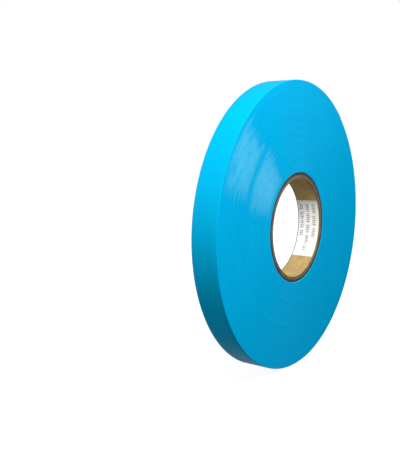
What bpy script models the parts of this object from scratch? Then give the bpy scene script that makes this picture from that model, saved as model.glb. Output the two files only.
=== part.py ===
"""A roll of narrow film tape on a spirally wound paperboard core, standing on its rim.

The roll's axis runs along Y, its front face looks towards -Y, and the origin is on the floor
below the middle of the roll. Angles are in degrees about the axis, from +X towards +Z.
"""

import math

import bmesh
import bpy
from mathutils import Matrix, Vector

# Tape
TAPE_WIDTH = 0.0204
TAPE_THICKNESS = 0.00016
PACK_RADIUS = 0.1098
TAIL_ROOT_ANGLE = 76.5
TAIL_END_ANGLE = 49.5

# Paperboard core, from the bore outwards
BORE_RADIUS = 0.0381
CORE_RECESS = 0.0003  # by which the core is cut short of the tape's edge, at each end
LINER_THICKNESS = 0.0005
BODY_PLY_THICKNESS = 0.0007
BODY_PLY_COUNT = 3
OUTER_PLY_THICKNESS = 0.0004
BOARD_STRIP_WIDTH = 0.110  # of the board that each ply is wound from
SEAM_GAP = 0.0006  # between the two edges of a ply's butt seam
FIRST_SEAM_ANGLE = 100.0
SEAM_STAGGER = 137.5  # from one ply's seam to the next one's

# Label on the wall of the bore
LABEL_THICKNESS = 0.00012
LABEL_MARGIN = 0.0012  # between the label and the core's front end
LABEL_START_ANGLE = -45.0
LABEL_END_ANGLE = 28.0

# Double-sided strip that holds the tape's first end on the core
STRIP_THICKNESS = 0.00012
STRIP_MARGIN = 0.0022  # between the strip's edge and the tape's, on each side
STRIP_START_ANGLE = 200.0
STRIP_END_ANGLE = 235.0

# Tab that holds the tail down
TAB_THICKNESS = 0.00014
TAB_MARGIN = 0.0027  # between the tab's edge and the tape's, on each side
TAB_LENGTH_ON_TAIL = 0.017
TAB_LENGTH_ON_PACK = 0.017
TAB_STEP_LENGTH = 0.005  # over which it comes down from the tail to the pack

FACE_GAP = 0.0003  # between surfaces that touch
BOTTOM_ANGLE = 270.0
PACK_SEGMENTS = 120
CORE_SEGMENTS = 72
BLADE_OVERRUN = 0.003  # by which a seam's cutter passes each side of the ply

# Worked out from the driving dimensions
CORE_LENGTH = TAPE_WIDTH - 2 * CORE_RECESS
LABEL_WIDTH = CORE_LENGTH - LABEL_MARGIN
STRIP_WIDTH = TAPE_WIDTH - 2 * STRIP_MARGIN
TAB_WIDTH = TAPE_WIDTH - 2 * TAB_MARGIN
CORE_RADIUS = (
    BORE_RADIUS
    + LINER_THICKNESS
    + BODY_PLY_COUNT * BODY_PLY_THICKNESS
    + OUTER_PLY_THICKNESS
    + (BODY_PLY_COUNT + 1) * FACE_GAP
)
PACK_INNER_RADIUS = CORE_RADIUS + FACE_GAP
STRIP_RELIEF = STRIP_THICKNESS + FACE_GAP
TURN_STEP = TAPE_THICKNESS + FACE_GAP  # by which the rim drops over one turn
GAP_ANGLE = math.degrees(FACE_GAP / PACK_RADIUS)
STRIP_GAP_ANGLE = math.degrees(FACE_GAP / PACK_INNER_RADIUS)
TAB_ROOT_ANGLE = TAIL_END_ANGLE + math.degrees(TAB_LENGTH_ON_TAIL / PACK_RADIUS)
TAB_END_ANGLE = TAIL_END_ANGLE - math.degrees(TAB_LENGTH_ON_PACK / PACK_RADIUS)
TAB_STEP_ANGLE = math.degrees(TAB_STEP_LENGTH / PACK_RADIUS)


def clear_scene():
    for old in list(bpy.data.objects):
        bpy.data.objects.remove(old, do_unlink=True)


def material(name, color, roughness, metallic=0.0):
    made = bpy.data.materials.new(name)
    made.use_nodes = True
    shader = made.node_tree.nodes["Principled BSDF"]
    shader.inputs["Base Color"].default_value = (*color, 1.0)
    shader.inputs["Roughness"].default_value = roughness
    shader.inputs["Metallic"].default_value = metallic
    return made


def polar(radius, angle, y=0.0):
    turn = math.radians(angle)
    return Vector((radius * math.cos(turn), y, radius * math.sin(turn)))


# The tape's outline ---------------------------------------------------------------------


def outer_turn(angle):
    """Radius of the outermost turn, counted from the tape's free end round to where it ends."""
    return PACK_RADIUS - TURN_STEP * (angle - TAIL_END_ANGLE) / 360


def pack_rim(angle):
    """Radius of the pack's rim, which is one turn lower where the tail lies on it."""
    low = TAIL_ROOT_ANGLE + GAP_ANGLE
    high = low + GAP_ANGLE
    turn_below = outer_turn(angle + 360)
    if angle <= low:
        return turn_below
    if angle >= high:
        return outer_turn(angle)
    share = (angle - low) / (high - low)
    return turn_below + share * (outer_turn(angle) - turn_below)


def pack_wall(angle):
    """Radius of the pack's inner wall, which is set back over the start strip."""
    start = STRIP_START_ANGLE - 2 * STRIP_GAP_ANGLE
    end = STRIP_END_ANGLE + 2 * STRIP_GAP_ANGLE
    distance = min(angle - start, end - angle)
    share = min(max(distance / STRIP_GAP_ANGLE, 0.0), 1.0)
    return PACK_INNER_RADIUS + share * STRIP_RELIEF


def tab_seat(angle):
    """Radius of the tab's underside: over the tail, then down a step to the pack."""
    on_tail = outer_turn(angle) + FACE_GAP
    on_pack = outer_turn(angle + 360) + FACE_GAP
    share = (TAIL_END_ANGLE - GAP_ANGLE - angle) / TAB_STEP_ANGLE
    return on_tail + min(max(share, 0.0), 1.0) * (on_pack - on_tail)


# Bodies bounded by two radii ----------------------------------------------------------------


def facet_angles(start, end, segments, extra=()):
    """Angles from start to end that leave a flat facet at the bottom, and the extra ones."""
    step = 360 / segments
    first = math.ceil((start - BOTTOM_ANGLE) / step - 0.5)
    last = math.floor((end - BOTTOM_ANGLE) / step - 0.5)
    corners = [BOTTOM_ANGLE + (i + 0.5) * step for i in range(first, last + 1)]
    fixed = [start, end, *extra]
    kept = [a for a in corners if min(abs(a - b) for b in fixed) > step / 8]
    return sorted(fixed + kept)


def wound_body(angles, inner, outer, front, back, closed):
    """A wall between inner(angle) and outer(angle), from y = front to y = back."""
    bm = bmesh.new()
    if closed:
        angles = angles[:-1]
    sections = []
    for angle in angles:
        r_in, r_out = inner(angle), outer(angle)
        corners = ((r_in, front), (r_out, front), (r_out, back), (r_in, back))
        sections.append([bm.verts.new(polar(r, angle, y)) for r, y in corners])
    pairs = list(zip(sections, sections[1:]))
    if closed:
        pairs.append((sections[-1], sections[0]))
    for here, there in pairs:
        for i in range(4):
            j = (i + 1) % 4
            bm.faces.new((here[i], here[j], there[j], there[i]))
    if not closed:
        bm.faces.new(sections[0])
        bm.faces.new(sections[-1])
    bmesh.ops.recalc_face_normals(bm, faces=bm.faces)
    return bm


def add_object(name, bm, finish, parent, hinge=None):
    """Makes the object. hinge is where its origin goes, on its joint's axis."""
    origin = hinge or Vector()
    bmesh.ops.translate(bm, verts=bm.verts, vec=-origin)
    mesh = bpy.data.meshes.new(name)
    bm.to_mesh(mesh)
    bm.free()
    mesh.shade_smooth()
    mesh.set_sharp_from_angle(angle=math.radians(30))
    mesh.materials.append(finish)
    made = bpy.data.objects.new(name, mesh)
    bpy.context.collection.objects.link(made)
    made.parent = parent
    made.location = origin - parent.location
    return made


# Core ---------------------------------------------------------------------------------------


def seam_blade(name, inner, outer, angle):
    """A thin slanted slab that cuts a ply's butt seam through its wall at this angle."""
    middle = (inner + outer) / 2
    slant = math.asin(BOARD_STRIP_WIDTH / (2 * math.pi * middle))
    reach = math.asin(CORE_LENGTH / math.tan(slant) / inner / 2)
    low = inner * math.cos(reach) - BLADE_OVERRUN
    high = outer + BLADE_OVERRUN
    length = CORE_LENGTH / math.sin(slant) + 4 * BLADE_OVERRUN
    bm = bmesh.new()
    bmesh.ops.create_cube(bm, size=1.0)
    bmesh.ops.scale(bm, vec=(high - low, length, SEAM_GAP), verts=bm.verts)
    bmesh.ops.translate(bm, vec=((low + high) / 2, 0.0, 0.0), verts=bm.verts)
    # The slab's long side starts along Y, and leans over to the seam's slant.
    lean = Matrix.Rotation(math.pi / 2 - slant, 4, "X")
    swing = Matrix.Rotation(-math.radians(angle), 4, "Y")
    bmesh.ops.transform(bm, matrix=swing @ lean, verts=bm.verts)
    mesh = bpy.data.meshes.new(name)
    bm.to_mesh(mesh)
    bm.free()
    blade = bpy.data.objects.new(name, mesh)
    bpy.context.collection.objects.link(blade)
    blade.hide_render = True
    blade.display_type = "WIRE"
    return blade


def add_ply(name, inner, thickness, seam_angle, finish, roll):
    """One ply of board: a ring cut through by its slanting butt seam."""
    outer = inner + thickness
    start = BOTTOM_ANGLE + 180 / CORE_SEGMENTS
    angles = facet_angles(start, start + 360, CORE_SEGMENTS)
    half = CORE_LENGTH / 2
    bm = wound_body(angles, lambda a: inner, lambda a: outer, -half, half, closed=True)
    ply = add_object(name, bm, finish, roll)
    blade = seam_blade(name + "_seam_cutter", inner, outer, seam_angle)
    blade.parent = roll
    seam = ply.modifiers.new("Seam", "BOOLEAN")
    seam.operation = "DIFFERENCE"
    seam.object = blade


def add_core(roll):
    kraft = material("kraft_board", (0.36, 0.25, 0.11), 0.8)
    plies = [("core_liner", LINER_THICKNESS)]
    plies += [(f"core_body_ply_{i + 1}", BODY_PLY_THICKNESS) for i in range(BODY_PLY_COUNT)]
    plies.append(("core_outer_ply", OUTER_PLY_THICKNESS))
    inner = BORE_RADIUS
    seam_angle = FIRST_SEAM_ANGLE
    for name, thickness in plies:
        add_ply(name, inner, thickness, seam_angle, kraft, roll)
        inner += thickness + FACE_GAP
        seam_angle += SEAM_STAGGER


def add_label(roll):
    paper = material("label_paper", (0.8, 0.8, 0.78), 0.6)
    outer = BORE_RADIUS - FACE_GAP
    angles = facet_angles(LABEL_START_ANGLE, LABEL_END_ANGLE, CORE_SEGMENTS)
    back = CORE_LENGTH / 2
    front = back - LABEL_WIDTH
    inner = outer - LABEL_THICKNESS
    bm = wound_body(angles, lambda a: inner, lambda a: outer, front, back, closed=False)
    add_object("core_label", bm, paper, roll)


# Tape ---------------------------------------------------------------------------------------


def add_start_strip(roll):
    adhesive = material("strip_adhesive", (0.75, 0.70, 0.55), 0.4)
    inner = CORE_RADIUS + FACE_GAP
    outer = inner + STRIP_THICKNESS
    angles = facet_angles(STRIP_START_ANGLE, STRIP_END_ANGLE, PACK_SEGMENTS)
    half = STRIP_WIDTH / 2
    bm = wound_body(angles, lambda a: inner, lambda a: outer, -half, half, closed=False)
    add_object("start_strip", bm, adhesive, roll)


def add_pack(film, roll):
    root, gap = TAIL_ROOT_ANGLE, GAP_ANGLE
    steps = [root + gap, root + 2 * gap]
    steps += [STRIP_START_ANGLE - 2 * STRIP_GAP_ANGLE, STRIP_START_ANGLE - STRIP_GAP_ANGLE]
    steps += [STRIP_END_ANGLE + STRIP_GAP_ANGLE, STRIP_END_ANGLE + 2 * STRIP_GAP_ANGLE]
    angles = facet_angles(TAIL_END_ANGLE, TAIL_END_ANGLE + 360, PACK_SEGMENTS, steps)
    half = TAPE_WIDTH / 2
    bm = wound_body(angles, pack_wall, pack_rim, -half, half, closed=True)
    return add_object("tape_pack", bm, film, roll)


def add_tail(film, roll):
    """The last stretch of the outermost turn, which lifts about its root."""
    half = TAPE_WIDTH / 2
    angles = facet_angles(TAIL_END_ANGLE, TAIL_ROOT_ANGLE, PACK_SEGMENTS)

    def underside(angle):
        return outer_turn(angle) - TAPE_THICKNESS

    bm = wound_body(angles, underside, outer_turn, -half, half, closed=False)
    hinge = polar(outer_turn(TAIL_ROOT_ANGLE), TAIL_ROOT_ANGLE)
    return add_object("tape_tail", bm, film, roll, hinge)


def add_tab(tail):
    """The tab over the tail's end, which peels off towards its own root."""
    paper = material("tab_paper", (0.56, 0.455, 0.29), 0.7)
    half = TAB_WIDTH / 2
    step_top = TAIL_END_ANGLE - GAP_ANGLE
    steps = [step_top, step_top - TAB_STEP_ANGLE]
    angles = facet_angles(TAB_END_ANGLE, TAB_ROOT_ANGLE, PACK_SEGMENTS, steps)

    def top(angle):
        return tab_seat(angle) + TAB_THICKNESS

    bm = wound_body(angles, tab_seat, top, -half, half, closed=False)
    hinge = polar(top(TAB_ROOT_ANGLE), TAB_ROOT_ANGLE)
    add_object("closure_tab", bm, paper, tail, hinge)


def main():
    clear_scene()
    roll = bpy.data.objects.new("roll_axis", None)
    bpy.context.collection.objects.link(roll)
    film = material("blue_film", (0.0005, 0.35, 0.63), 0.4)
    add_core(roll)
    add_label(roll)
    add_start_strip(roll)
    pack = add_pack(film, roll)
    add_tab(add_tail(film, roll))
    # The bottom facet lies on the floor.
    roll.location.z = -min(vertex.co.z for vertex in pack.data.vertices)


main()
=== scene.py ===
"""The looks of the tape roll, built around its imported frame."""

import math

import bmesh
import bpy
from mathutils import Matrix, Vector


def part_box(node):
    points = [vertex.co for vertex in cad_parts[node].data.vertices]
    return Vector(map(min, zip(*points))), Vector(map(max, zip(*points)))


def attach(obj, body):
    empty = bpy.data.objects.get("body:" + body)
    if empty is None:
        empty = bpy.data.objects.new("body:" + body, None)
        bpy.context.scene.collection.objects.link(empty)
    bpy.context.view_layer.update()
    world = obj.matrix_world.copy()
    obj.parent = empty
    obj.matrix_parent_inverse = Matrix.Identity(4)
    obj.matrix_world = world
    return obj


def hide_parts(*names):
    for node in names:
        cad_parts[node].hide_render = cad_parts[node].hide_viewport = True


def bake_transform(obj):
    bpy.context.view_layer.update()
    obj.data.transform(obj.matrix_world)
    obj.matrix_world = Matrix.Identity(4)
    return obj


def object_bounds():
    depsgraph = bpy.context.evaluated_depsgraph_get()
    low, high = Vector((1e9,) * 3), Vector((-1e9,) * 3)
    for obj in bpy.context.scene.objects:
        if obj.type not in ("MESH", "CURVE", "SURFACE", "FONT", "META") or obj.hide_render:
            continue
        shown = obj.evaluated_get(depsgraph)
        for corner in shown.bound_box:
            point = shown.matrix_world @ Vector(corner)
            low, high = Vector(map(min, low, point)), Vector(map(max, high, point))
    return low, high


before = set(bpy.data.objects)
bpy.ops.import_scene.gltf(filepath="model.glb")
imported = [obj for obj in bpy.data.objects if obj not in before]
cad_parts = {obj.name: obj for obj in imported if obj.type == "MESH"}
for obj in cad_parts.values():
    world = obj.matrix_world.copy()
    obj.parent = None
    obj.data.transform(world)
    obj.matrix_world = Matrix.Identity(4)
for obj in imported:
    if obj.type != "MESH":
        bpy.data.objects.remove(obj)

CAD_LOW, CAD_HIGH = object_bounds()

# Sizes are in metres. Angles go about the roll's axis in degrees, from +X towards +Z.
PACK_LOW, PACK_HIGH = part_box("tape_pack")
LINER_LOW, LINER_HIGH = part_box("core_liner")
LABEL_LOW, LABEL_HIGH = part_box("core_label")
TAB_LOW, TAB_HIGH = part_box("closure_tab")
AXIS = Vector((0.0, 0.0, (LINER_LOW.z + LINER_HIGH.z) / 2))


def outer_radius(node):
    """Outer radius of a round piece, from its packed box."""
    low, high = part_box(node)
    return (high.x - low.x) / 2


HALF_WIDTH = (PACK_HIGH.y - PACK_LOW.y) / 2
RIM_RADIUS = 0.1098
TAPE_THICKNESS = 0.00016
TAIL_ROOT_ANGLE = 76.5
TAIL_END_ANGLE = 49.5

CORE_HALF = (LINER_HIGH.y - LINER_LOW.y) / 2
CORE_RADIUS = outer_radius("core_outer_ply")
BORE_RADIUS = 0.0381
GLUE_LINE = 0.00004  # between two plies, and between the core and what is stuck or wound on it


def polar(radius, angle, y=0.0):
    turn = math.radians(angle)
    return AXIS + Vector((radius * math.cos(turn), y, radius * math.sin(turn)))


def spread(start, end, count):
    return [start + (end - start) * i / count for i in range(count + 1)]


def eased(share):
    """A smooth step from 0 to 1."""
    share = min(max(share, 0.0), 1.0)
    return share * share * (3 - 2 * share)


# Material helpers ---------------------------------------------------------------------------


class Nodes:
    """A material's node tree, with short calls that add and link its nodes."""

    def __init__(self, name):
        self.material = bpy.data.materials.new(name)
        self.material.use_nodes = True
        self.tree = self.material.node_tree
        self.shader = self.tree.nodes["Principled BSDF"]
        self.coordinates = self.add("ShaderNodeTexCoord").outputs["Object"]

    def add(self, kind, **settings):
        node = self.tree.nodes.new(kind)
        for key, value in settings.items():
            setattr(node, key, value)
        return node

    def put(self, node, inputs):
        for key, value in inputs.items():
            if isinstance(value, bpy.types.NodeSocket):
                self.tree.links.new(value, node.inputs[key])
            else:
                node.inputs[key].default_value = value
        return node

    def math(self, operation, a, b=0.0):
        node = self.add("ShaderNodeMath", operation=operation)
        return self.put(node, {0: a, 1: b}).outputs[0]

    def mix(self, factor, a, b):
        node = self.add("ShaderNodeMix", data_type="RGBA")
        return self.put(node, {0: factor, 6: a, 7: b}).outputs[2]

    def noise(self, vector, scale, detail=3.0, roughness=0.55):
        node = self.add("ShaderNodeTexNoise")
        self.put(node, {"Vector": vector, "Scale": scale, "Detail": detail, "Roughness": roughness})
        return node.outputs["Fac"]

    def span(self, value, low, high, to_low=0.0, to_high=1.0, smooth=False):
        node = self.add("ShaderNodeMapRange", interpolation_type="SMOOTHSTEP" if smooth else "LINEAR")
        return self.put(node, {0: value, 1: low, 2: high, 3: to_low, 4: to_high}).outputs[0]

    def bump(self, height, strength, distance, normal=None):
        node = self.add("ShaderNodeBump")
        self.put(node, {"Height": height, "Strength": strength, "Distance": distance})
        if normal is not None:
            self.put(node, {"Normal": normal})
        return node.outputs["Normal"]

    def joined(self, x, y, z):
        return self.put(self.add("ShaderNodeCombineXYZ"), {0: x, 1: y, 2: z}).outputs[0]

    def place(self):
        """Adds y along the roll's axis, and the radius and the angle about it in radians."""
        split = self.put(self.add("ShaderNodeSeparateXYZ"), {0: self.coordinates})
        x, self.y, z = split.outputs
        z = self.math("SUBTRACT", z, AXIS.z)
        squares = self.math("ADD", self.math("MULTIPLY", x, x), self.math("MULTIPLY", z, z))
        self.radius = self.math("SQRT", squares)
        self.angle = self.math("ARCTAN2", z, x)

    def drawn_out(self, share):
        """The angle times a small share, by which a noise is drawn out along the turns."""
        return self.math("MULTIPLY", self.angle, share)


# Film ---------------------------------------------------------------------------------------

FILM_RIM = (0.0004, 0.352, 0.612, 1.0)
FILM_BLUE = (0.0004, 0.330, 0.600, 1.0)
FILM_DEEP = (0.0003, 0.282, 0.540, 1.0)
FILM_PALE = (0.006, 0.410, 0.690, 1.0)
FILM_SHEEN = (0.50, 1.0, 0.90, 1.0)
FILM_IOR = 1.5
FACE_SPECULAR = 0.005
RUBBED_SPECULAR = 0.90
RIM_SPECULAR = 0.012

# Where the wound edges are rubbed glossy on each side, in radians and metres
RUBBED_FRONT = math.radians(146)
RUBBED_BACK = math.radians(60)
RAGGED_ANGLE = math.radians(4.5)
RUBBED_PATCHES = (  # middle and half angle from there, then inner and outer radius
    (math.radians(0), math.radians(17), 0.0770, 0.1095),
    (math.radians(-1), math.radians(22), 0.0435, 0.0770),
)
SMOOTH_PATCH_RADIUS = 0.070  # the patch is smoother inside this radius
STREAKY_PATCH_RADIUS = 0.082  # and broken up by streaks outside this one


def rubbed_glossy(m):
    """How glossy the wound edges are rubbed, 0 to 1: two patches with ragged ends."""
    side = m.math("MULTIPLY", m.y, -1.0 / HALF_WIDTH)
    turned = m.math("SUBTRACT", m.angle, m.span(side, -0.5, 0.5, RUBBED_BACK, RUBBED_FRONT))
    ragged = m.noise(m.joined(m.drawn_out(0.004), m.radius, 1.1), 520.0, 3.0, 0.7)
    turned = m.math("ADD", turned, m.span(ragged, 0.3, 0.7, -RAGGED_ANGLE, RAGGED_ANGLE))
    rubbed = 0.0
    for middle, half, near, far in RUBBED_PATCHES:
        off_angle = m.math("DIVIDE", m.math("ABSOLUTE", m.math("SUBTRACT", turned, middle)), half)
        off_radius = m.math("SUBTRACT", m.radius, (near + far) / 2)
        off_radius = m.math("DIVIDE", m.math("ABSOLUTE", off_radius), (far - near) / 2)
        edge = m.math("MAXIMUM", off_angle, off_radius)
        rubbed = m.math("MAXIMUM", rubbed, m.span(edge, 0.58, 1.0, 1.0, 0.0, smooth=True))
    streaks = m.noise(m.joined(m.drawn_out(0.020), m.radius, 2.9), 260.0, 4.0, 0.75)
    scratches = m.noise(m.joined(m.drawn_out(0.012), m.radius, 0.2), 900.0, 3.0, 0.7)
    least = m.span(m.radius, SMOOTH_PATCH_RADIUS, STREAKY_PATCH_RADIUS, 0.70, 0.25)
    streaks = m.span(streaks, 0.38, 0.56, least, 1.0)
    scratches = m.span(scratches, 0.38, 0.56, 0.35, 1.0)
    return m.math("MULTIPLY", rubbed, m.math("MULTIPLY", streaks, scratches))


def film_face_material():
    """The pack's side: the edges of hundreds of turns, as fine rings with a satin sheen across them."""
    m = Nodes("film_face")
    m.place()
    wide = m.noise(m.joined(m.radius, m.drawn_out(0.004), 0.0), 260.0, 2.0)
    fine = m.noise(m.joined(m.radius, m.drawn_out(0.0015), 0.3), 1900.0, 3.0)
    sweep = m.noise(m.coordinates, 14.0, 2.0)
    rings = m.math("ADD", m.math("MULTIPLY", wide, 0.25), m.math("MULTIPLY", fine, 0.75))
    tone = m.mix(m.span(rings, 0.30, 0.62), FILM_DEEP, FILM_BLUE)
    tone = m.mix(m.span(m.math("MULTIPLY", fine, sweep), 0.26, 0.42, 0.0, 0.22), tone, FILM_PALE)
    glossy = rubbed_glossy(m)
    tangent = m.add("ShaderNodeTangent", direction_type="RADIAL", axis="Y").outputs[0]
    m.put(m.shader, {
        "Base Color": tone,
        "Roughness": m.span(rings, 0.3, 0.7, 0.49, 0.57),
        "Normal": m.bump(fine, 0.25, 0.00012),
        "IOR": FILM_IOR,
        "Specular IOR Level": m.span(glossy, 0.0, 1.0, FACE_SPECULAR, RUBBED_SPECULAR),
        "Specular Tint": FILM_SHEEN,
        "Anisotropic": m.span(glossy, 0.0, 1.0, 1.0, 0.72),
        "Anisotropic Rotation": 0.25,
        "Tangent": tangent,
    })
    return m.material


def film_rim_material():
    """The outermost turn: smooth film with faint draw lines along it."""
    m = Nodes("film_rim")
    m.place()
    lines = m.noise(m.joined(m.drawn_out(0.01), m.y, 0.0), 900.0, 2.0)
    cloud = m.noise(m.coordinates, 45.0, 3.0)
    m.put(m.shader, {
        "Base Color": m.mix(m.span(cloud, 0.35, 0.65, 0.0, 0.35), FILM_RIM, FILM_BLUE),
        "Roughness": m.span(cloud, 0.3, 0.7, 0.30, 0.40),
        "Normal": m.bump(cloud, 0.10, 0.0004, m.bump(lines, 0.12, 0.0001)),
        "IOR": FILM_IOR,
        "Specular IOR Level": RIM_SPECULAR,
        "Specular Tint": FILM_SHEEN,
    })
    return m.material


# Board and paper ----------------------------------------------------------------------------

KRAFT_EDGE = (0.205, 0.155, 0.105, 1.0)
KRAFT_DARK = (0.060, 0.045, 0.030, 1.0)
# painted shade: near-black, for the shadow in the gap between the core and the tape
KRAFT_PAINTED_SHADE = (0.014, 0.016, 0.014, 1.0)
KRAFT = (0.29, 0.19, 0.070, 1.0)
KRAFT_LIGHT = (0.47, 0.335, 0.130, 1.0)
BOARD_LAYER = 0.00052  # pitch of the lines on the core's cut end
PAINTED_SHADE_DEPTH = (0.0025, 0.0011)  # below the core's outside, where painted shade of the gap to the tape starts to darken the cut end, and where it is dark
END_SHADE_MARGIN = (0.0013, 0.0002)  # from the core's end, where the liner starts to darken with painted shade, and where it is dark


def kraft_material(name, dark, light, layers):
    """Brown board with fibres and flecks. layers draws the lines that show on the cut end."""
    m = Nodes(name)
    m.place()
    fibres = m.noise(m.joined(m.drawn_out(0.012), m.y, m.radius), 950.0, 4.0, 0.65)
    patches = m.noise(m.coordinates, 120.0, 3.0)
    flecks = m.noise(m.coordinates, 2600.0, 1.0)
    mottle = m.math("ADD", m.math("MULTIPLY", fibres, 0.6), m.math("MULTIPLY", patches, 0.4))
    tone = m.mix(m.span(mottle, 0.36, 0.64), dark, light)
    tone = m.mix(m.span(flecks, 0.66, 0.74, 0.0, 0.5), tone, KRAFT_DARK)
    height = m.math("ADD", fibres, m.math("MULTIPLY", patches, 0.3))
    if layers:
        wobble = m.noise(m.joined(m.drawn_out(0.05), 0.0, m.radius), 60.0, 2.0)
        depth = m.math("ADD", m.math("SUBTRACT", m.radius, BORE_RADIUS), m.math("MULTIPLY", wobble, 0.00012))
        layer = m.math("FRACT", m.math("DIVIDE", depth, BOARD_LAYER))
        off_line = m.math("ABSOLUTE", m.math("SUBTRACT", layer, 0.5))
        line = m.math("SUBTRACT", 1.0, m.span(off_line, 0.0, 0.16))
        tone = m.mix(m.math("MULTIPLY", line, 0.45), tone, KRAFT_DARK)
        # Painted shade: the cut end darkens towards the core's outside, for the shadow in the gap to the
        # tape.
        low, high = (CORE_RADIUS - below for below in PAINTED_SHADE_DEPTH)
        tone = m.mix(m.span(m.radius, low, high, 0.0, 0.96, smooth=True), tone, KRAFT_PAINTED_SHADE)
        height = m.math("SUBTRACT", height, m.math("MULTIPLY", line, 0.8))
    else:
        # Painted shade: the board gets darker towards the core's ends, where the edges of the bore are
        # shaded.
        low, high = (CORE_HALF - margin for margin in END_SHADE_MARGIN)
        painted_end_shade = m.span(m.math("ABSOLUTE", m.y), low, high, 0.0, 0.85, smooth=True)
        tone = m.mix(painted_end_shade, tone, KRAFT_DARK)
    m.put(m.shader, {
        "Base Color": tone,
        "Roughness": m.span(fibres, 0.3, 0.7, 0.72, 0.9),
        "Normal": m.bump(height, 0.4, 0.00015),
        "Specular IOR Level": 0.3,
    })
    return m.material


LABEL_START_ANGLE = -45.0
LABEL_END_ANGLE = 28.0
LABEL_TOP_ARC = BORE_RADIUS * math.radians(LABEL_END_ANGLE)
LABEL_ROWS = ((0.0035, 0.028), (0.0035, 0.040), (0.0035, 0.027))  # start and length of each row
LABEL_ROW_FIRST = 0.0042
LABEL_ROW_PITCH = 0.0054
LABEL_ROW_HEIGHT = 0.0028
LABEL_ROW_SHIFT = 0.0006  # of the marks, from one row to the next
LABEL_MARK_PITCH = 0.0017
LABEL_MARK_SHARE = 0.66
LABEL_GROUP_MARKS = 6.0  # in a group of marks, less for each later row
LABEL_GROUP_LESS = 0.7
LABEL_GROUP_SHARE = 0.84
LABEL_INK = (0.06, 0.06, 0.07, 1.0)
LABEL_PAPER = ((0.70, 0.70, 0.685, 1.0), (0.77, 0.77, 0.755, 1.0))


def label_ink(m):
    """1 on three rows of plain marks in groups, which stand for small print, or else 0."""
    arc = m.math("MULTIPLY", m.angle, BORE_RADIUS)
    across = m.math("SUBTRACT", m.y, LABEL_LOW.y)
    ink = 0.0
    for row, (start, length) in enumerate(LABEL_ROWS):
        off_row = m.math("SUBTRACT", across, LABEL_ROW_FIRST + row * LABEL_ROW_PITCH)
        near = m.math("LESS_THAN", m.math("ABSOLUTE", off_row), LABEL_ROW_HEIGHT / 2)
        along = m.math("SUBTRACT", LABEL_TOP_ARC - start, arc)
        inside = m.math("MULTIPLY", m.math("GREATER_THAN", along, 0.0), m.math("LESS_THAN", along, length))
        marks = m.math("DIVIDE", m.math("ADD", along, row * LABEL_ROW_SHIFT), LABEL_MARK_PITCH)
        mark = m.math("LESS_THAN", m.math("FRACT", marks), LABEL_MARK_SHARE)
        groups = m.math("DIVIDE", marks, LABEL_GROUP_MARKS - row * LABEL_GROUP_LESS)
        group = m.math("LESS_THAN", m.math("FRACT", groups), LABEL_GROUP_SHARE)
        row_ink = m.math("MULTIPLY", m.math("MULTIPLY", near, inside), m.math("MULTIPLY", mark, group))
        ink = m.math("ADD", ink, row_ink)
    return ink


def label_material():
    """White paper with blotted rows of plain grey marks."""
    m = Nodes("label_print")
    m.place()
    grain = m.noise(m.coordinates, 900.0, 3.0)
    paper = m.mix(m.span(grain, 0.35, 0.65), *LABEL_PAPER)
    blots = m.span(m.noise(m.coordinates, 1500.0, 2.0), 0.40, 0.58, 0.25, 0.95)
    m.put(m.shader, {
        "Base Color": m.mix(m.math("MULTIPLY", label_ink(m), blots), paper, LABEL_INK),
        "Roughness": m.span(grain, 0.3, 0.7, 0.5, 0.62),
        "Normal": m.bump(grain, 0.15, 0.0001),
    })
    return m.material


TAB_PAPER = ((0.50, 0.40, 0.25, 1.0), (0.62, 0.51, 0.33, 1.0))


def tab_material():
    """Buff crepe paper tape, with fine cross ridges."""
    m = Nodes("tab_paper")
    m.place()
    crepe = m.noise(m.joined(m.angle, m.math("MULTIPLY", m.y, 0.8), 0.0), 320.0, 3.0)
    grain = m.noise(m.coordinates, 700.0, 3.0)
    m.put(m.shader, {
        "Base Color": m.mix(m.span(crepe, 0.35, 0.65), *TAB_PAPER),
        "Roughness": m.span(grain, 0.3, 0.7, 0.6, 0.75),
        "Normal": m.bump(m.math("ADD", crepe, m.math("MULTIPLY", grain, 0.4)), 0.5, 0.00015),
    })
    return m.material


ADHESIVE = ((0.66, 0.60, 0.44, 1.0), (0.78, 0.73, 0.58, 1.0))


def adhesive_material():
    m = Nodes("strip_adhesive")
    cloud = m.noise(m.coordinates, 300.0, 3.0)
    m.put(m.shader, {
        "Base Color": m.mix(m.span(cloud, 0.3, 0.7), *ADHESIVE),
        "Roughness": m.span(cloud, 0.3, 0.7, 0.35, 0.5),
    })
    return m.material


# Mesh helpers -------------------------------------------------------------------------------

SHARP_ANGLE = math.radians(40)


def lofted(name, sections, closed, materials, material_of=None):
    """A skin over closed sections, each a list of points. An open loft is capped at both ends."""
    bm = bmesh.new()
    rings = [[bm.verts.new(point) for point in section] for section in sections]
    pairs = list(zip(rings, rings[1:]))
    if closed:
        pairs.append((rings[-1], rings[0]))
    count = len(rings[0])
    for here, there in pairs:
        for i in range(count):
            j = (i + 1) % count
            face = bm.faces.new((here[i], here[j], there[j], there[i]))
            if material_of:
                face.material_index = material_of(i)
    if not closed:
        bm.faces.new(rings[0])
        bm.faces.new(rings[-1])
    bmesh.ops.recalc_face_normals(bm, faces=bm.faces)
    mesh = bpy.data.meshes.new(name)
    bm.to_mesh(mesh)
    bm.free()
    mesh.shade_smooth()
    mesh.set_sharp_from_angle(angle=SHARP_ANGLE)
    for each in materials:
        mesh.materials.append(each)
    made = bpy.data.objects.new(name, mesh)
    bpy.context.scene.collection.objects.link(made)
    return made


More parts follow.
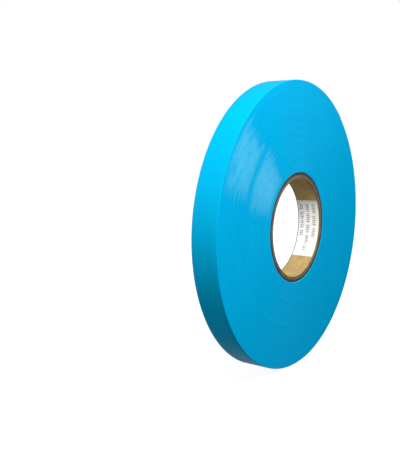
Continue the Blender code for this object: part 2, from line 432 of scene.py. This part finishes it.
def strip_section(angle, inner, outer, half, offset=0.0, corner=0.00003):
    """A flat strip's cross-section, with its four edges eased."""
    points = [(inner, -half + corner), (inner + corner, -half)]
    points += [(outer - corner, -half), (outer, -half + corner)]
    points += [(outer, y) for y in spread(-half + corner, half - corner, 4)][1:-1]
    points += [(outer, half - corner), (outer - corner, half), (inner + corner, half), (inner, half - corner)]
    points += [(inner, y) for y in spread(half - corner, -half + corner, 4)][1:-1]
    return [polar(r, angle, y + offset) for r, y in points]


# Tape ---------------------------------------------------------------------------------------

PACK_SEGMENTS = 384
FACE_STEPS = 96
RIM_STEPS = 6
EDGE_ROUND = 0.00035
EDGE_ANGLES = (30, 60, 90)
SIDE_RINGS = (  # height, waves in a metre, and how far and from where they drift in a turn
    (0.000018, 410.0, 0.5, 0.0),
    (0.000012, 1310.0, 0.8, 1.0),
    (0.000008, 3970.0, 1.3, math.pi / 2),
)
BACK_RELIEF_TURN = 140  # by which the back's rings are turned from the front's
ROOT_BLEND_ANGLE = 9.0  # past the tail's root, over which the pack's rim comes up to full height
TAIL_CLEARANCE = 0.00002  # between the tail and the turn under it, and from the pack's sides
TAIL_THICKNESS = TAPE_THICKNESS * 0.98
TAIL_SINK = 0.00006  # of the tail's buried end below the rim
TAIL_STEPS = 180


def side_relief(radius, angle):
    """How far the wound edges stand out of the side at this radius: a few shallow rings."""
    turn = math.radians(angle)
    relief = 0.0
    for height, waves, drift, start in SIDE_RINGS:
        relief += height * math.sin(radius * waves + drift * math.sin(turn + start))
    return relief


def turn_radius(angle):
    """Radius of the outermost turn, counted from the tape's free end."""
    return RIM_RADIUS - TAPE_THICKNESS * (angle - TAIL_END_ANGLE) / 360


def rim_radius(angle):
    """The pack's rim: one turn lower under the tail, then up to the outermost turn."""
    under_tail = turn_radius(angle + 360) - TAIL_CLEARANCE
    share = eased((angle - TAIL_ROOT_ANGLE) / ROOT_BLEND_ANGLE)
    return under_tail + share * (turn_radius(angle) - under_tail)


def pack_section(angle):
    inner, outer = CORE_RADIUS + GLUE_LINE, rim_radius(angle)
    start, end = inner + EDGE_ROUND, outer - EDGE_ROUND
    front = [(r, -HALF_WIDTH + side_relief(r, angle)) for r in spread(start, end, FACE_STEPS)]
    back_angle = angle + BACK_RELIEF_TURN
    back = [(r, HALF_WIDTH - side_relief(r, back_angle)) for r in spread(end, start, FACE_STEPS)]
    y_front, y_back = front[-1][1], back[0][1]
    arc = [math.radians(a) for a in EDGE_ANGLES]
    front_edge = [(end + EDGE_ROUND * math.sin(a), y_front + EDGE_ROUND * (1 - math.cos(a))) for a in arc]
    back_edge = [(r, y_back - (y - y_front)) for r, y in reversed(front_edge)]
    rim = [(outer, y) for y in spread(y_front + EDGE_ROUND, y_back - EDGE_ROUND, RIM_STEPS)][1:-1]
    wall = [(inner, back[-1][1] - EDGE_ROUND), (inner, front[0][1] + EDGE_ROUND)]
    profile = front + front_edge + rim + back_edge + back + wall
    return [polar(r, angle, y) for r, y in profile]


def make_pack(face_finish, rim_finish):
    angles = [TAIL_END_ANGLE + 360 * i / PACK_SEGMENTS for i in range(PACK_SEGMENTS)]
    rim_end = FACE_STEPS + 2 * len(EDGE_ANGLES) + RIM_STEPS

    def material_of(i):
        on_side = i < FACE_STEPS or rim_end <= i < rim_end + FACE_STEPS
        return 0 if on_side else 1

    sections = [pack_section(a) for a in angles]
    pack = lofted("wound_tape", sections, True, [face_finish, rim_finish], material_of)
    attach(pack, "roll")
    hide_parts("tape_pack")


def make_tail(finish):
    """The free end of the outermost turn. Past its root it sinks into the pack's rim."""

    def section(angle):
        past_root = min(max((angle - TAIL_ROOT_ANGLE) / ROOT_BLEND_ANGLE, 0.0), 1.0)
        top = turn_radius(angle) - TAIL_SINK * past_root * past_root
        return strip_section(angle, top - TAIL_THICKNESS, top, HALF_WIDTH - TAIL_CLEARANCE)

    angles = spread(TAIL_END_ANGLE, TAIL_ROOT_ANGLE + ROOT_BLEND_ANGLE, TAIL_STEPS)
    tail = lofted("tail_film", [section(a) for a in angles], False, [finish])
    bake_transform(tail)
    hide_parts("tape_tail")


# Tab ----------------------------------------------------------------------------------------

TAB_HALF = (TAB_HIGH.y - TAB_LOW.y) / 2
TAB_THICKNESS = 0.00012
TAB_CLEARANCE = 0.00003
TAB_CORNER = 0.0012
TAB_HALF_ANGLE = math.degrees(0.017 / RIM_RADIUS)  # on each side of the tail's end
TAB_ROOT_ANGLE = TAIL_END_ANGLE + TAB_HALF_ANGLE
TAB_END_ANGLE = TAIL_END_ANGLE - TAB_HALF_ANGLE
TAB_STEP_START = TAIL_END_ANGLE - 0.1  # where it comes down from the tail to the pack
TAB_STEP_ANGLE = 0.9
TAB_STEPS = 90
PAPER_EDGE = 0.00002


def make_tab(finish):
    """The paper tab over the tail's end, with rounded corners and a small step where the tail stops."""

    def section(angle):
        step_down = eased((TAB_STEP_START - angle) / TAB_STEP_ANGLE)
        seat = turn_radius(angle) - step_down * TAPE_THICKNESS + TAB_CLEARANCE
        to_end = min(angle - TAB_END_ANGLE, TAB_ROOT_ANGLE - angle) * math.radians(1) * RIM_RADIUS
        pull = 0.0
        if to_end < TAB_CORNER:
            pull = TAB_CORNER - math.sqrt(max(TAB_CORNER**2 - (TAB_CORNER - to_end) ** 2, 0.0))
        return strip_section(angle, seat, seat + TAB_THICKNESS, TAB_HALF - pull, corner=PAPER_EDGE)

    corner_turns = spread(0.0, math.degrees(TAB_CORNER / RIM_RADIUS), 6)
    angles = [TAB_END_ANGLE + turn for turn in corner_turns]
    angles += spread(TAB_END_ANGLE, TAB_ROOT_ANGLE, TAB_STEPS)[4:-4]
    angles += [TAB_ROOT_ANGLE - turn for turn in reversed(corner_turns)]
    tab = lofted("paper_tab", [section(a) for a in angles], False, [finish])
    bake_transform(tab)
    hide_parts("closure_tab")


# Core ---------------------------------------------------------------------------------------

PLY_NODES = ("core_liner", "core_body_ply_1", "core_body_ply_2", "core_body_ply_3", "core_outer_ply")
PLY_SWELL = 0.00026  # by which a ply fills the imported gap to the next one
PLY_EDGE = 0.00006
PLY_WANDER = 0.00006  # by which no ply is cut quite flush with the next
SEAM_GAP = 0.00018
BOARD_STRIP_WIDTH = 0.110
FIRST_SEAM_ANGLE = 100.0
SEAM_STAGGER = 137.5
PLY_TURN_STEPS = 300
PLY_WIDTH_STEPS = 12


def make_ply(index, node, inner, outer, finish, end_finish):
    """One ply: a strip of board bent round once, so that its slanting edges meet in a butt seam."""
    middle = (inner + outer) / 2
    slant = math.asin(BOARD_STRIP_WIDTH / (2 * math.pi * middle))
    sweep = math.degrees(2 * CORE_HALF / math.tan(slant) / middle)
    gap = math.degrees(SEAM_GAP / middle)
    seam = FIRST_SEAM_ANGLE + index * SEAM_STAGGER
    half = CORE_HALF + PLY_WANDER * math.sin(2.1 * index + 0.7)
    rows = range(PLY_WIDTH_STEPS + 1)

    def section(turn):
        points = []
        for surface, inwards, order in ((inner, 1, rows), (outer, -1, reversed(rows))):
            for row in order:
                across = row / PLY_WIDTH_STEPS
                radius = surface + (inwards * PLY_EDGE if row in (rows[0], rows[-1]) else 0.0)
                points.append(polar(radius, seam + turn + sweep * (across - 0.5), (2 * across - 1) * half))
        return points

    turns = spread(gap / 2, 360 - gap / 2, PLY_TURN_STEPS)
    ends = (PLY_WIDTH_STEPS, 2 * PLY_WIDTH_STEPS + 1)
    name = node.replace("core_", "board_")
    ply = lofted(name, [section(t) for t in turns], False, [finish, end_finish], lambda i: int(i in ends))
    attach(ply, "roll")
    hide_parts(node)


def make_core():
    board = kraft_material("kraft_board", KRAFT_DARK, KRAFT_EDGE, layers=True)
    # A near-black board for the outer ply's ends: painted shade of the gap between the core and the tape.
    shaded_end_board = kraft_material("kraft_painted_shade", KRAFT_PAINTED_SHADE, KRAFT_DARK, layers=False)
    liner_board = kraft_material("kraft_liner", KRAFT, KRAFT_LIGHT, layers=False)
    outers = [outer_radius(node) + PLY_SWELL for node in PLY_NODES[:-1]] + [CORE_RADIUS]
    inner = BORE_RADIUS
    for index, (node, outer) in enumerate(zip(PLY_NODES, outers)):
        finish = liner_board if index == 0 else board
        # The outer ply's ends take the painted-shade board.
        end_finish = shaded_end_board if node == PLY_NODES[-1] else board
        make_ply(index, node, inner, outer, finish, end_finish)
        inner = outer + GLUE_LINE


LABEL_THICKNESS = 0.00010
LABEL_BACK_MARGIN = 0.0007
LABEL_LIFT = 0.00025  # of its upper end, off the wall
LABEL_LIFT_ANGLE = 4.0
LABEL_STEPS = 70


def make_label(finish):
    """The paper label on the wall of the bore."""
    half = (LABEL_HIGH.y - LABEL_LOW.y - LABEL_BACK_MARGIN) / 2
    middle = LABEL_LOW.y + half

    def section(angle):
        lifted = max(0.0, (angle - LABEL_END_ANGLE + LABEL_LIFT_ANGLE) / LABEL_LIFT_ANGLE)
        outer = BORE_RADIUS - GLUE_LINE - LABEL_LIFT * lifted**2
        return strip_section(angle, outer - LABEL_THICKNESS, outer, half, middle, PAPER_EDGE)

    angles = spread(LABEL_START_ANGLE, LABEL_END_ANGLE, LABEL_STEPS)
    label = lofted("bore_label", [section(a) for a in angles], False, [finish])
    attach(label, "roll")
    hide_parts("core_label")


def finish_strip(finish):
    """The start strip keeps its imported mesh, hidden between the core and the tape."""
    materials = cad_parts["start_strip"].data.materials
    materials.clear()
    materials.append(finish)


# Studio -------------------------------------------------------------------------------------

# The camera from the middle of the roll's front face, in metres and degrees
CAMERA_FROM_FACE = Vector((-0.4432, -0.2341, 0.0702))
CAMERA_HEADING = 53.40  # from +Y towards +X
CAMERA_PITCH = -12.09
CAMERA_ROLL = -0.90
CAMERA_LENS = 51.01
CAMERA_SENSOR = 36.0
CAMERA_SHIFT_Y = 0.1018

LAMPS = (  # name, direction from the roll's middle, distance, size and power
    ("key", (-0.44, -0.53, 0.73), 0.55, 0.20, 4.4),
    ("side", (0.86, -0.34, 0.38), 0.60, 0.80, 2.1),
    ("fill", (-0.55, 0.80, 0.30), 0.80, 0.30, 3.2),
)

WHITE = (1.0, 1.0, 1.0, 1.0)
WORLD_LIGHT = 0.24
FLOOR_TONE = (0.16, 0.16, 0.16, 1.0)
FLOOR_RADIUS = 6.0
FLOOR_GAP = 0.0002
FLOOR_GLOW_NEAR = 0.90
FLOOR_GLOW_FAR = 1.0
FLOOR_WHITE_DISTANCE = 0.30


def make_camera():
    data = bpy.data.cameras.new("camera")
    data.lens = CAMERA_LENS
    data.sensor_width = CAMERA_SENSOR
    data.shift_y = CAMERA_SHIFT_Y
    camera = bpy.data.objects.new("camera", data)
    bpy.context.scene.collection.objects.link(camera)
    turn = Matrix.Rotation(-math.radians(CAMERA_HEADING), 4, "Z")
    tilt = Matrix.Rotation(math.radians(90 + CAMERA_PITCH), 4, "X")
    roll = Matrix.Rotation(math.radians(CAMERA_ROLL), 4, "Z")
    face_middle = AXIS + Vector((0.0, PACK_LOW.y, 0.0))
    camera.matrix_world = Matrix.Translation(face_middle + CAMERA_FROM_FACE) @ turn @ tilt @ roll
    bpy.context.scene.camera = camera


def add_lamp(name, direction, distance, size, power):
    data = bpy.data.lights.new(name, "AREA")
    data.shape = "DISK"
    data.size = size
    data.energy = power
    lamp = bpy.data.objects.new(name, data)
    bpy.context.scene.collection.objects.link(lamp)
    towards = Vector(direction).normalized()
    lamp.location = AXIS + towards * distance
    lamp.rotation_mode = "QUATERNION"
    lamp.rotation_quaternion = towards.to_track_quat("Z", "Y")


def make_world():
    """A plain soft light that the camera sees as white."""
    world = bpy.data.worlds.new("studio")
    world.use_nodes = True
    tree = world.node_tree
    background = tree.nodes["Background"]
    background.inputs["Color"].default_value = WHITE
    path = tree.nodes.new("ShaderNodeLightPath")
    strength = tree.nodes.new("ShaderNodeMapRange")
    tree.links.new(path.outputs["Is Camera Ray"], strength.inputs["Value"])
    strength.inputs["To Min"].default_value = WORLD_LIGHT
    strength.inputs["To Max"].default_value = 1.0
    tree.links.new(strength.outputs["Result"], background.inputs["Strength"])
    bpy.context.scene.world = world


def floor_material():
    """Pale, with a glow for the camera and in mirrors, so that it is white away from the shadow."""
    m = Nodes("floor_white")
    distance = m.put(m.add("ShaderNodeVectorMath", operation="LENGTH"), {0: m.coordinates}).outputs["Value"]
    level = m.span(distance, 0.0, FLOOR_WHITE_DISTANCE, FLOOR_GLOW_NEAR, FLOOR_GLOW_FAR)
    path = m.add("ShaderNodeLightPath").outputs
    mirrored = m.math("MAXIMUM", path["Is Glossy Ray"], path["Is Transmission Ray"])
    seen = m.math("MAXIMUM", path["Is Camera Ray"], mirrored)
    m.put(m.shader, {
        "Base Color": FLOOR_TONE,
        "Roughness": 0.9,
        "Specular IOR Level": 0.1,
        "Emission Color": WHITE,
        "Emission Strength": m.math("MULTIPLY", seen, level),
    })
    return m.material


def make_floor():
    bm = bmesh.new()
    bmesh.ops.create_circle(bm, cap_ends=True, segments=96, radius=FLOOR_RADIUS)
    mesh = bpy.data.meshes.new("floor")
    bm.to_mesh(mesh)
    bm.free()
    mesh.materials.append(floor_material())
    floor = bpy.data.objects.new("floor", mesh)
    floor.location.z = CAD_LOW.z - FLOOR_GAP
    bpy.context.scene.collection.objects.link(floor)


def make_studio():
    make_camera()
    make_world()
    make_floor()
    for lamp in LAMPS:
        add_lamp(*lamp)
    bpy.context.scene.view_settings.view_transform = "Standard"


def main():
    make_studio()
    rim = film_rim_material()
    make_pack(film_face_material(), rim)
    make_tail(rim)
    make_tab(tab_material())
    make_core()
    make_label(label_material())
    finish_strip(adhesive_material())


main()
